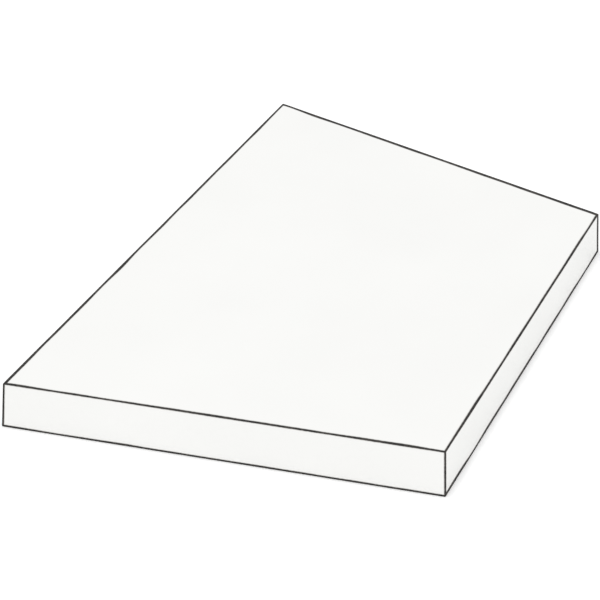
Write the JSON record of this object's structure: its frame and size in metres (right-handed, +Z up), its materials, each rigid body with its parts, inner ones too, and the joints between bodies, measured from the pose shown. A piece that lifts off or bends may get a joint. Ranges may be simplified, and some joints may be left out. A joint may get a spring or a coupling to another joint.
{
  "type": "mosaic tile",
  "caption": "Plain tapered mosaic tile: a thin flat slab with a glazed face in the outline of a symmetric trapezoid, sides that lean in slightly towards the face, and a flat back that beds in adhesive.",
  "frame": {"origin": "middle of the bedding face's box, on the surface that the tile lies on", "axes": "+X from the tile's long side to its short side, +Y along both, +Z up, out of the glazed face"},
  "size_m": [0.051, 0.075, 0.006],
  "materials": {
    "glaze": "gloss"
  },
  "bodies": {
    "root": {"tile": "glaze"}
  },
  "joints": []
}
